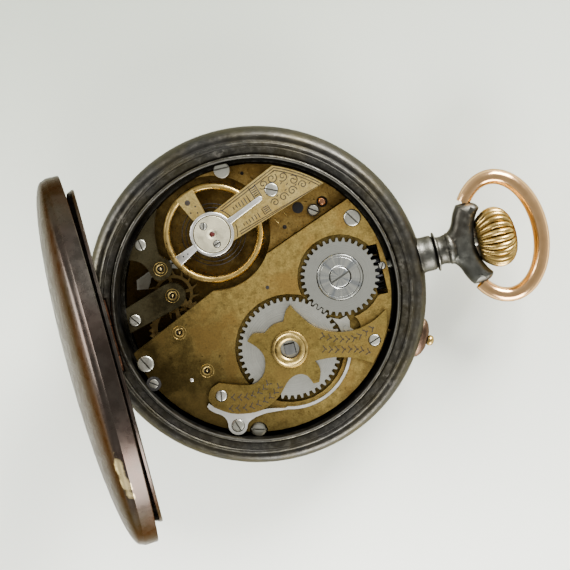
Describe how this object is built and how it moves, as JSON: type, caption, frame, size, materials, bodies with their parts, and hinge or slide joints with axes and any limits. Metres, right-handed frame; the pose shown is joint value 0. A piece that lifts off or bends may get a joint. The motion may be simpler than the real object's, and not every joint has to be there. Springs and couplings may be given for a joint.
{
  "type": "open face pocket watch",
  "caption": "Key-free pocket watch laid dial down with its hinged back and dust cover open, showing the movement, with a ribbed winding crown and a swivelling bow.",
  "frame": {"origin": "centre of the crystal's flat outer face, on the case axis", "axes": "+X from the case centre to the pendant and crown, +Z out of the movement side, +Y towards the balance"},
  "size_m": [0.0702, 0.0498, 0.0579],
  "materials": {
    "gunmetal": "dark gunmetal, satin, rubbed bright along its edges",
    "bright_steel": "plain polished steel",
    "brushed_steel": "steel brushed in rings, with a sunray centre",
    "worn_gilt": "grained gilding, tarnished and spotted",
    "pale_gilt": "pale gilding with cut ornament",
    "train_brass": "plain polished brass",
    "rose_gold": "polished red gold plate",
    "crown_gold": "gold plate, worn",
    "spring_steel": "bright spring steel",
    "screw_steel": "polished steel, slightly dulled",
    "cap_silver": "polished silvered steel",
    "ruby": "polished ruby",
    "enamel": "white enamel",
    "blued_steel": "heat-blued steel",
    "clear_crystal": "clear, polished"
  },
  "bodies": {
    "case": {"case_middle": "gunmetal", "pendant": "gunmetal", "bezel": "gunmetal", "crystal": "clear_crystal", "pusher_guard": "crown_gold", "cover_hinge_pin": "rose_gold", "cuvette_hinge_pin": "rose_gold", "main_plate": "worn_gilt", "barrel_bridge": "worn_gilt", "ratchet_bridge": "pale_gilt", "arbor_bush": "pale_gilt", "crown_wheel_core": "bright_steel", "click_spring": "bright_steel", "balance_cock": "pale_gilt", "pallet_cock": "pale_gilt", "escape_cock": "pale_gilt", "hairspring": "spring_steel", "endstone_cap": "cap_silver", "endstone_jewel": "ruby", "dial": "enamel", "crown_wheel_screw": "screw_steel", "balance_cock_screw": "screw_steel", "pallet_cock_screw": "screw_steel", "escape_cock_screw": "screw_steel", "click_spring_screw": "screw_steel", "bridge_screw_1": "screw_steel", "bridge_screw_2": "screw_steel", "ratchet_bridge_screw_1": "screw_steel", "ratchet_bridge_screw_2": "screw_steel", "case_screw_1": "screw_steel", "case_screw_2": "screw_steel"},
    "outer_cover": {"back_cover": "gunmetal"},
    "inner_cover": {"cuvette": "gunmetal"},
    "bow_ring": {"bow": "rose_gold"},
    "pusher": {"set_pusher": "crown_gold"},
    "setting": {"setting_lever": "bright_steel"},
    "winding": {"crown": "crown_gold", "stem": "bright_steel", "winding_pinion": "bright_steel", "sliding_pinion": "bright_steel"},
    "crown_gear": {"crown_wheel": "brushed_steel"},
    "ratchet": {"ratchet_wheel": "brushed_steel", "barrel_arbor": "brushed_steel"},
    "pawl": {"click": "bright_steel"},
    "drum": {"barrel": "train_brass", "barrel_cover": "train_brass", "mainspring": "spring_steel", "minute_wheel": "train_brass"},
    "third": {"third_wheel": "train_brass"},
    "fourth": {"fourth_wheel": "train_brass"},
    "escape": {"escape_wheel": "train_brass"},
    "pallets": {"pallet_fork": "bright_steel"},
    "balance": {"balance_wheel": "train_brass", "balance_staff": "bright_steel"},
    "rate_arm": {"regulator": "bright_steel"},
    "minutes": {"cannon_pinion": "train_brass", "minute_hand": "blued_steel"},
    "hours": {"hour_wheel": "train_brass", "hour_hand": "blued_steel"}
  },
  "joints": [
    {"name": "back_cover_hinge", "type": "hinge", "parent": "case", "child": "outer_cover", "pos_m": [-0.02376, 0, 0.0115], "axis": [0, -1, 0], "range_deg": [-77, 12]},
    {"name": "cuvette_hinge", "type": "hinge", "parent": "case", "child": "inner_cover", "pos_m": [-0.02162, 0, 0.01305], "axis": [0, -1, 0], "range_deg": [-79, 12.31]},
    {"name": "bow_hinge", "type": "hinge", "parent": "case", "child": "bow_ring", "pos_m": [0.0329, 0, 0.008], "axis": [0, 1, 0], "range_deg": [-100, 100]},
    {"name": "set_pusher_slide", "type": "slide", "parent": "case", "child": "pusher", "axis": [-0.8788, 0.4772, 0], "range_m": [0, 0.0008], "stiffness_N_per_m": 400, "springref_m": -0.0003},
    {"name": "setting_lever_pivot", "type": "hinge", "parent": "case", "child": "setting", "pos_m": [0.0163, -0.0055, 0], "axis": [0, 0, 1], "range_deg": [-12.5, 0]},
    {"name": "crown_spin", "type": "hinge", "parent": "case", "child": "winding", "pos_m": [0.036, 0, 0.008], "axis": [1, 0, 0], "continuous": true},
    {"name": "crown_wheel_spin", "type": "hinge", "parent": "case", "child": "crown_gear", "pos_m": [0.0125, 0.00025, 0.012], "axis": [0, 0, 1], "continuous": true},
    {"name": "ratchet_spin", "type": "hinge", "parent": "case", "child": "ratchet", "pos_m": [0.003, -0.0081, 0.012], "axis": [0, 0, 1], "continuous": true},
    {"name": "click_pivot", "type": "hinge", "parent": "case", "child": "pawl", "pos_m": [0.0116, -0.0072, 0.012], "axis": [0, 0, 1], "range_deg": [-6, 0], "stiffness_Nm_per_rad": 0.0001, "springref_deg": 4.98},
    {"name": "barrel_spin", "type": "hinge", "parent": "case", "child": "drum", "pos_m": [0.003, -0.0081, 0.008], "axis": [0, 0, 1], "continuous": true},
    {"name": "third_wheel_spin", "type": "hinge", "parent": "case", "child": "third", "pos_m": [-0.0095, -0.0084, 0.008], "axis": [0, 0, 1], "continuous": true},
    {"name": "fourth_wheel_spin", "type": "hinge", "parent": "case", "child": "fourth", "pos_m": [-0.012, -0.002, 0.008], "axis": [0, 0, 1], "continuous": true},
    {"name": "escape_wheel_spin", "type": "hinge", "parent": "case", "child": "escape", "pos_m": [-0.0118, 0.0033, 0.008], "axis": [0, 0, 1], "continuous": true},
    {"name": "pallet_fork_pivot", "type": "hinge", "parent": "case", "child": "pallets", "pos_m": [-0.0125, 0.0075, 0.008], "axis": [0, 0, 1], "range_deg": [-2, 2]},
    {"name": "balance_swing", "type": "hinge", "parent": "case", "child": "balance", "pos_m": [-0.00375, 0.0107, 0.01], "axis": [0, 0, 1], "range_deg": [-135, 135], "stiffness_Nm_per_rad": 0.000007},
    {"name": "regulator_swing", "type": "hinge", "parent": "case", "child": "rate_arm", "pos_m": [-0.00375, 0.0107, 0.0129], "axis": [0, 0, 1], "range_deg": [-15, 15]},
    {"name": "minute_hand_spin", "type": "hinge", "parent": "case", "child": "minutes", "pos_m": [0, 0, 0.004], "axis": [0, 0, 1], "continuous": true},
    {"name": "hour_hand_spin", "type": "hinge", "parent": "case", "child": "hours", "pos_m": [0, 0, 0.004], "axis": [0, 0, 1], "continuous": true}
  ],
  "couplings": [
    {"joint": "cuvette_hinge", "follows": "back_cover_hinge", "ratio": 1.026},
    {"joint": "setting_lever_pivot", "follows": "set_pusher_slide", "rad_per_m": -261.8},
    {"joint": "crown_wheel_spin", "follows": "crown_spin", "ratio": -0.55556},
    {"joint": "ratchet_spin", "follows": "crown_spin", "ratio": 0.41667},
    {"joint": "third_wheel_spin", "follows": "barrel_spin", "ratio": -5},
    {"joint": "fourth_wheel_spin", "follows": "barrel_spin", "ratio": 30},
    {"joint": "escape_wheel_spin", "follows": "barrel_spin", "ratio": -180},
    {"joint": "minute_hand_spin", "follows": "barrel_spin", "ratio": -4},
    {"joint": "hour_hand_spin", "follows": "barrel_spin", "ratio": -0.33333}
  ]
}
